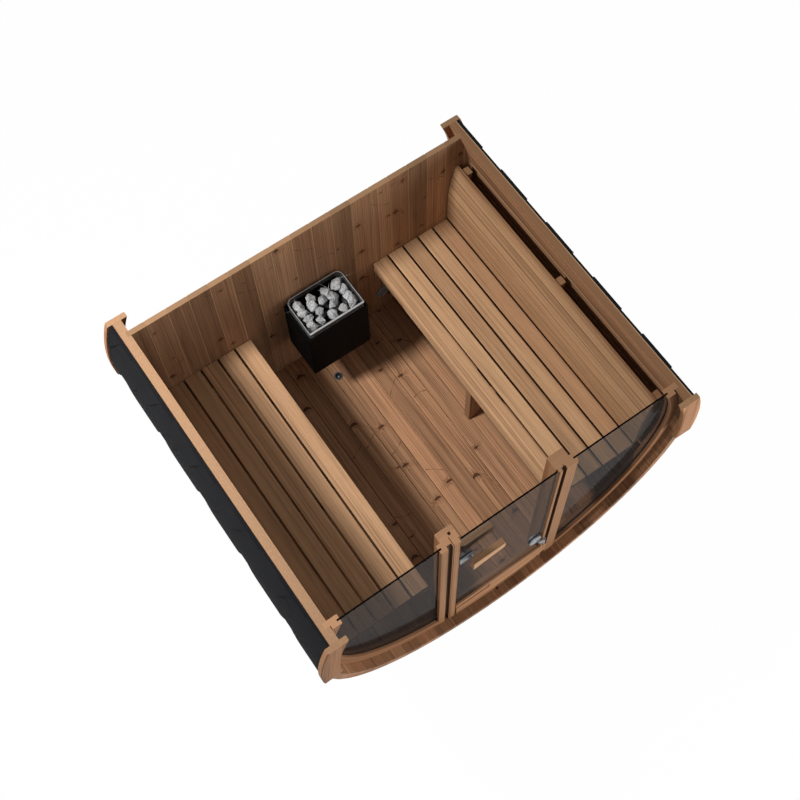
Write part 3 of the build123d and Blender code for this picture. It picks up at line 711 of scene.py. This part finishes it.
def addStrand(bm, start, stop):              # each end: its place, the way out, and its height
    half, thin = basket["strand"] / 2, basket["thickness"] / 2
    ends = []
    for spot, out, height in (start, stop):
        corners = [(spot + out * deep, min(height + up, rimTop - basket["rimHeight"]))
                   for deep, up in ((-thin, -half), (thin, -half), (thin, half), (-thin, half))]
        ends.append([bm.verts.new((place.x, place.y, level)) for place, level in corners])
    for k in range(4):
        n = (k + 1) % 4
        bm.faces.new((ends[0][k], ends[0][n], ends[1][n], ends[1][k]))
    bm.faces.new(ends[0])
    bm.faces.new(ends[1])


def buildBasket():
    bm = bmesh.new()
    foot = rimTop - basket["rimHeight"] - basket["height"]
    rise = basket["height"] / basket["rows"]
    spots = walkLoop(basketLoop(basket["meshInset"], basket["meshInset"]), basket["columns"])
    for i, (here, outHere) in enumerate(spots):
        there, outThere = spots[(i + 1) % len(spots)]
        for j in range(basket["rows"]):
            low, high = foot + rise * j, foot + rise * (j + 1)
            addStrand(bm, (here, outHere, low), (there, outThere, high))
            addStrand(bm, (here, outHere, high), (there, outThere, low))
    mesh = addPiece("basket_mesh", bm, steelFinish("mesh steel", basket["meshTone"]), "sauna")
    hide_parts("heater_basket")


def buildRim():
    bm = bmesh.new()
    bottom = rimTop - basket["rimHeight"]
    outside = basketLoop(0.0, 0.0)
    inside = basketLoop(basket["rimWidth"], basket["frontRimWidth"])
    rings = [[bm.verts.new((spot.x, spot.y, height)) for spot, _ in loop]
             for loop, height in ((outside, bottom), (outside, rimTop), (inside, rimTop), (inside, bottom))]
    for k in range(4):
        a, b = rings[k], rings[(k + 1) % 4]
        for i in range(len(a)):
            n = (i + 1) % len(a)
            bm.faces.new((a[i], a[n], b[n], b[i]))
    rim = addPiece("basket_rim", bm, steelFinish("brushed steel", basket["rimTone"]), "sauna")
    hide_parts("heater_rim")


buildBasket()
buildRim()


# Stones

stones = {
    "rows": (5, 4, 5, 4), "layers": 3, "seed": 14,
    "size": (0.057, 0.075),
    "length": (0.95, 1.30), "breadth": (0.75, 1.0), "height": (0.6, 0.9),       # shares of the size
    "crown": 0.012,              # how far the top layer stands above the rim
    "sunk": 0.36,                # share of a stone's size by which its middle lies lower
    "layerDepth": 0.040,
    "inset": 0.024, "shift": 0.10, "heightShift": (-0.010, 0.006), "tilt": 0.5,
    "points": (14, 20), "bevel": 0.09,
    "waves": ((2.0, 0.14), (6.0, 0.07), (15.0, 0.03)),       # how close and how deep
    "dark": (0.050, 0.012),      # painted shade: depths below the rim, from black to full tone
}
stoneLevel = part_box("heater_rim")[0].z + basket["rimLift"]


def stoneFinish():
    s = newFinish("heater stone")
    x, y, z = s.place()
    spot = s.vec(x, y, z)
    broad = s.cloud(spot, 34, 4.0, 0.7)
    grain = s.cloud(spot, 380, 3.0, 0.75)
    lump = s.cloud(spot, 11, 1.0, 0.5)
    cells = {"Vector": spot, "Scale": 46.0}
    vein = s.node("TexVoronoi", {"feature": "DISTANCE_TO_EDGE"}, cells, "Distance")
    pit = (s.cloud(spot, 150, 2.0, 0.6) - 0.5).ramp(-0.02, -0.12)
    tone = 0.27 + broad * 0.36 + (grain - 0.5) * 0.34 + (lump - 0.5) * 0.26
    tone = tone * (1 - vein.ramp(0.05, 0.0) * 0.35) * (1 - pit * 0.45)
    # painted shade: the stones darken with depth below the rim, where the heap lies in shade
    deepest, pale = (stoneLevel - depth for depth in stones["dark"])
    tone = tone * (0.10 + z.ramp(deepest, pale) * 0.90)
    colour = s.blend(1.0, s.grey(tone), rgb(0.99, 1.0, 1.01), "MULTIPLY")
    return s.finish(colour, 0.9, broad * 0.6 + grain * 0.4 - pit * 0.3, 0.004, Specular_IOR_Level=0.1)


def oneStone(bm, centre, size, rng, cuts):
    shape = bmesh.new()
    for _ in range(rng.randint(*stones["points"])):
        shape.verts.new(Vector((rng.gauss(0, 1), rng.gauss(0, 1), rng.gauss(0, 1))).normalized())
    bmesh.ops.convex_hull(shape, input=shape.verts)
    loose = [v for v in shape.verts if not v.link_faces]
    bmesh.ops.delete(shape, geom=loose, context="VERTS")
    bmesh.ops.bevel(shape, geom=shape.edges[:], offset=stones["bevel"], segments=2, affect="EDGES",
                    profile=0.6)
    bmesh.ops.triangulate(shape, faces=shape.faces)
    bmesh.ops.subdivide_edges(shape, edges=shape.edges, cuts=cuts, use_grid_fill=True)
    turn = Matrix.Rotation(rng.uniform(0, 6.28), 3, "Z")
    turn = turn @ Matrix.Rotation(rng.uniform(-stones["tilt"], stones["tilt"]), 3, "X")
    shares = [rng.uniform(*stones[key]) for key in ("length", "breadth", "height")]
    squash = Vector(shares) * size / 2
    shift = Vector((rng.uniform(0, 50),) * 3)
    for v in shape.verts:
        wave = sum(noise.noise(v.co * often + shift) * deep for often, deep in stones["waves"])
        v.co = turn @ Vector([a * b for a, b in zip(v.co * (1 + wave), squash)]) + centre
    mesh = bpy.data.meshes.new("stone")
    shape.to_mesh(mesh)
    shape.free()
    bm.from_mesh(mesh)
    bpy.data.meshes.remove(mesh)


def heapStones():
    rng = random.Random(stones["seed"])
    low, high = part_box("heater_body")
    inset, shift = stones["inset"], stones["shift"]
    x0, x1, y0, y1 = low.x + inset, high.x - inset, low.y + inset, high.y - inset
    bm = bmesh.new()
    for layer in range(stones["layers"]):
        for j, count in enumerate(stones["rows"]):
            for i in range(count):
                size = rng.uniform(*stones["size"])
                x = x0 + (x1 - x0) * (i + 0.5 + rng.uniform(-shift, shift)) / count
                y = y0 + (y1 - y0) * (j + 0.5 + rng.uniform(-shift, shift)) / len(stones["rows"])
                x = min(max(x, x0 + size * 0.5), x1 - size * 0.5)
                y = min(max(y, y0 + size * 0.5), y1 - size * 0.5)
                z = stoneLevel + stones["crown"] - size * stones["sunk"] - layer * stones["layerDepth"]
                z += rng.uniform(*stones["heightShift"])
                oneStone(bm, Vector((x, y, z)), size, rng, 2 if layer == 0 else 1)
    heap = addPiece("stone_heap", bm, stoneFinish(), "sauna")
    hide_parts("heater_stones")


heapStones()


# Studio

studio = {
    "floorSize": 60.0, "floorGlow": 0.985, "floorTone": 0.85, "skyLight": 0.27,
    "key": {"start": (-0.568, 0.233, 0.765), "distance": 4.0, "aim": (0, 0, 0.7),
            "size": 0.55, "power": 158.0},
    "fill": {"start": (0.50, -0.85, 0.10), "distance": 5.0, "aim": (0, -0.9, 0.9),
             "size": 2.6, "power": 180.0},
}
shot = {
    "place": (-1.359, -2.127, 6.9565), "azimuth": -35.25, "elevation": 65.52,
    "lens": 59.4, "shiftX": -0.03025, "shiftY": -0.0459,
}


def whiteWhenSeen(tree):                     # 1 for rays that show the surroundings
    kinds = ("Is Camera Ray", "Is Glossy Ray", "Is Transmission Ray")
    path = [tree.node("LightPath", {}, {}, kind) for kind in kinds]
    return path[0].most(path[1]).most(path[2])


def addLamp(name, how):
    lamp = bpy.data.lights.new(name, "AREA")
    lamp.shape = "DISK"
    lamp.size = how["size"]
    lamp.energy = how["power"]
    light = bpy.data.objects.new(name, lamp)
    away = Vector(how["start"]).normalized()
    light.location = Vector(how["aim"]) + away * how["distance"]
    light.rotation_mode = "QUATERNION"
    light.rotation_quaternion = (-away).to_track_quat("-Z", "Y")
    bpy.context.scene.collection.objects.link(light)


def buildFloor():
    half = studio["floorSize"] / 2
    corners = [(-half, -half, 0), (half, -half, 0), (half, half, 0), (-half, half, 0)]
    mesh = bpy.data.meshes.new("studioFloor")
    mesh.from_pydata(corners, [], [(0, 1, 2, 3)])
    ground = bpy.data.objects.new("studioFloor", mesh)
    bpy.context.scene.collection.objects.link(ground)
    pale = newFinish("studio floor")
    tone = studio["floorTone"]
    matt = pale.node("BsdfDiffuse", {}, {"Color": rgb(tone, tone, tone)})
    glow = pale.node("Emission", {}, {"Color": rgb(1, 1, 1), "Strength": 1.0})
    share = whiteWhenSeen(pale) * studio["floorGlow"]
    pale.surface(pale.node("MixShader", {}, {0: share, 1: matt, 2: glow}))
    mesh.materials.append(pale.owner)


def buildSky():
    world = bpy.data.worlds.new("studioLight")
    bpy.context.scene.world = world
    sky = Finish(world)
    strength = studio["skyLight"] + whiteWhenSeen(sky) * (1 - studio["skyLight"])
    back = sky.node("Background", {}, {"Color": rgb(1, 1, 1), "Strength": strength})
    sky.node("OutputWorld", {}, {"Surface": back})


def placeCamera():
    lens = bpy.data.cameras.new("camera")
    lens.lens = shot["lens"]
    lens.shift_x, lens.shift_y = shot["shiftX"], shot["shiftY"]
    camera = bpy.data.objects.new("camera", lens)
    camera.location = shot["place"]
    camera.rotation_euler = (radians(90 - shot["elevation"]), 0, radians(shot["azimuth"]))
    bpy.context.scene.collection.objects.link(camera)
    bpy.context.scene.camera = camera
    bpy.context.scene.view_settings.view_transform = "Standard"


buildFloor()
buildSky()
addLamp("keyLight", studio["key"])
addLamp("frontFill", studio["fill"])
placeCamera()
print("studio done")
